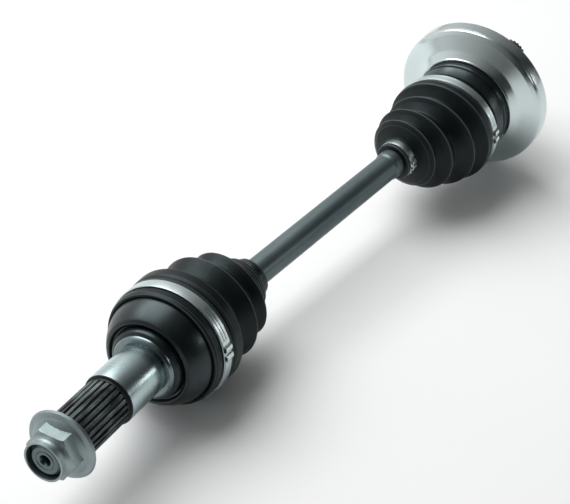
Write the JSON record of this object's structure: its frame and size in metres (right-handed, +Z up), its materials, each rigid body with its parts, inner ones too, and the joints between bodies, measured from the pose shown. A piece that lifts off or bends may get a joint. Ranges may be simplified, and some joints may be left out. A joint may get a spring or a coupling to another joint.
{
  "type": "cv axle",
  "caption": "Drive axle with a ball joint in a ribbed rubber boot at each end, a splined wheel stub with its nut, and a splined differential stub behind a round dust shield.",
  "frame": {"origin": "on the floor under the middle of the axle lying in its rest pose, at the bottom centre of its bounding box", "axes": "+X along the bar from the wheel end to the differential end, +Z up with the axle lying on its dust shield and outer boot"},
  "size_m": [0.5521, 0.1172, 0.1168],
  "materials": {
    "black_paint": "satin black paint over forged steel",
    "dark_steel": "dark oiled steel, semi-gloss",
    "bearing_steel": "ground and polished",
    "zinc": "bright zinc plate",
    "rubber": "matt black moulded rubber"
  },
  "bodies": {
    "bar": {"axle_bar": "dark_steel", "outer_joint_circlip": "zinc", "inner_joint_circlip": "zinc", "outer_joint_inner_race": "dark_steel", "inner_joint_inner_race": "dark_steel", "outer_boot_small_clamp": "black_paint", "inner_boot_small_clamp": "zinc", "outer_boot": "rubber"},
    "outer_cage": {"outer_joint_cage": "bearing_steel", "outer_joint_ball_1": "bearing_steel", "outer_joint_ball_2": "bearing_steel", "outer_joint_ball_3": "bearing_steel", "outer_joint_ball_4": "bearing_steel", "outer_joint_ball_5": "bearing_steel", "outer_joint_ball_6": "bearing_steel"},
    "wheel_stub": {"outer_joint_housing": "black_paint", "outer_boot_large_clamp": "zinc"},
    "nut": {"axle_nut": "zinc"},
    "inner_cage": {"inner_joint_cage": "bearing_steel", "inner_joint_ball_1": "bearing_steel", "inner_joint_ball_2": "bearing_steel", "inner_joint_ball_3": "bearing_steel", "inner_joint_ball_4": "bearing_steel", "inner_joint_ball_5": "bearing_steel", "inner_joint_ball_6": "bearing_steel"},
    "inner_boot": {"inner_boot": "rubber"},
    "diff_stub": {"inner_joint_housing": "black_paint", "inner_joint_stop_ring": "zinc", "inner_stub_circlip": "zinc", "dust_shield": "zinc", "inner_boot_large_clamp": "zinc"}
  },
  "joints": [
    {"name": "outer_bend_a", "type": "hinge", "parent": "bar", "child": "outer_cage", "pos_m": [-0.14749, -0.00192, 0.04411], "axis": [-0.0315, 0.5897, 0.807], "range_deg": [-34, 17.5], "deforming": ["outer_boot"]},
    {"name": "outer_bend_b", "type": "hinge", "parent": "outer_cage", "child": "wheel_stub", "pos_m": [-0.14749, -0.00192, 0.04411], "axis": [0.1958, -0.7881, 0.5835], "range_deg": [-25, 25], "deforming": ["outer_boot"]},
    {"name": "nut_turn", "type": "hinge", "parent": "wheel_stub", "child": "nut", "pos_m": [-0.26021, -0.0222, 0.05453], "axis": [0.9801, 0.1764, -0.0906], "continuous": true},
    {"name": "inner_bend_a", "type": "hinge", "parent": "bar", "child": "inner_cage", "pos_m": [0.19295, -0.00192, 0.05739], "axis": [-0.0377, -0.2514, 0.9672], "range_deg": [-19.7, 6.3], "deforming": ["inner_boot"]},
    {"name": "inner_bend_b", "type": "hinge", "parent": "inner_cage", "child": "inner_boot", "pos_m": [0.19295, -0.00192, 0.05739], "axis": [0.1263, -0.9613, -0.2449], "range_deg": [-12, 12], "deforming": ["inner_boot"]},
    {"name": "inner_plunge", "type": "slide", "parent": "inner_boot", "child": "diff_stub", "axis": [0.9913, 0.1129, 0.068], "range_m": [-0.007, 0.01], "deforming": ["inner_boot"]}
  ]
}
